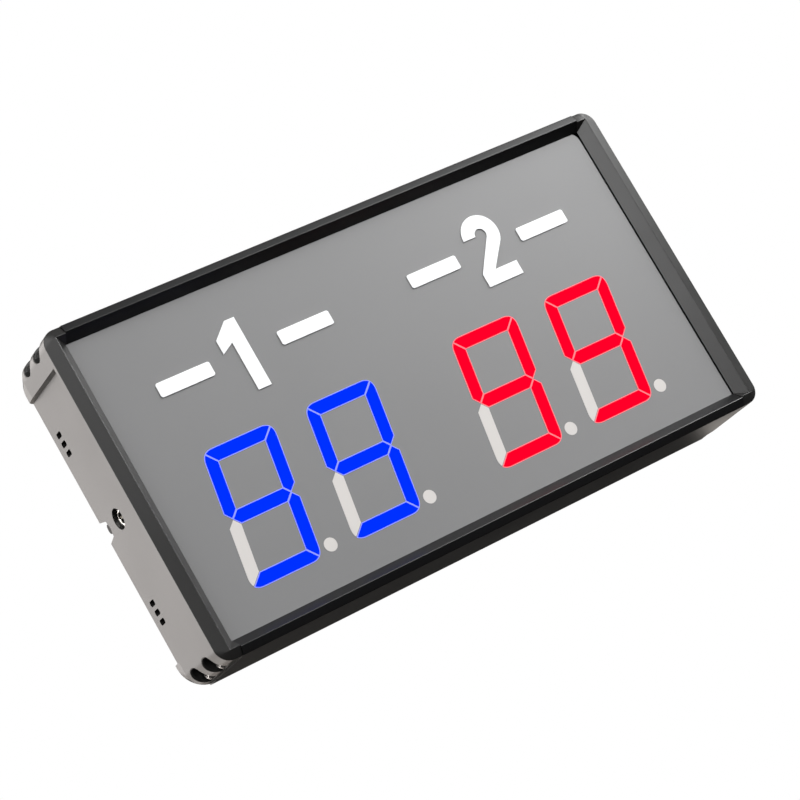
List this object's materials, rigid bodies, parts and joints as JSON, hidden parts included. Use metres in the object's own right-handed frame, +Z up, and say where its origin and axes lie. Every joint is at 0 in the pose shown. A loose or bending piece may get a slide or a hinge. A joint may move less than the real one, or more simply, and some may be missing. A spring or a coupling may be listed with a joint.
{
  "type": "electronic scoreboard",
  "caption": "Slim electronic scoreboard: blue and red seven-segment digits and white marks on a grey panel, in a case of dark extruded rails and moulded end caps.",
  "frame": {"origin": "on the surface that the scoreboard stands on, below the middle of its width and of its depth", "axes": "+X to the right as one faces the digits, +Y to the rear, +Z up"},
  "size_m": [0.2256, 0.0326, 0.117],
  "materials": {
    "cap_plastic": "satin moulded",
    "rail_metal": "black anodised, satin",
    "panel_sheet": "smooth grey sheet",
    "rear_sheet": "fine grained black",
    "screw_steel": "nickel plated",
    "display_shell": "pale moulded",
    "blue_resin": "cast resin, lit blue",
    "red_resin": "cast resin, lit red",
    "mark_white": "white vinyl",
    "socket_plastic": "black moulded",
    "contact_metal": "nickel plated contacts",
    "grommet_rubber": "black moulded rubber",
    "board_laminate": "green laminate",
    "component_black": "black epoxy",
    "can_metal": "drawn can"
  },
  "bodies": {
    "root": {"left_end_cap": "cap_plastic", "right_end_cap": "cap_plastic", "top_rail": "rail_metal", "bottom_rail": "rail_metal", "front_panel": "panel_sheet", "rear_panel": "rear_sheet", "left_cap_screw_1": "screw_steel", "left_cap_screw_2": "screw_steel", "left_cap_screw_3": "screw_steel", "left_cap_screw_4": "screw_steel", "right_cap_screw_5": "screw_steel", "right_cap_screw_6": "screw_steel", "right_cap_screw_7": "screw_steel", "right_cap_screw_8": "screw_steel", "digit_shell_1": "display_shell", "digit_shell_2": "display_shell", "digit_shell_3": "display_shell", "digit_shell_4": "display_shell", "digit_cast_1": "blue_resin", "digit_cast_2": "blue_resin", "digit_cast_3": "red_resin", "digit_cast_4": "red_resin", "plug_socket_body": "socket_plastic", "plug_socket_sleeve": "contact_metal", "plug_socket_pin": "contact_metal", "notch_grommet": "grommet_rubber", "main_board": "board_laminate", "controller_chip": "component_black", "driver_chip_left": "component_black", "driver_chip_right": "component_black", "crystal": "can_metal", "regulator": "component_black", "capacitor": "component_black", "sounder": "component_black", "receiver_header": "component_black", "receiver_board": "board_laminate", "header_numeral_1": "mark_white", "header_numeral_2": "mark_white", "header_bar_1": "mark_white", "header_bar_2": "mark_white", "header_bar_3": "mark_white", "header_bar_4": "mark_white"}
  },
  "joints": []
}
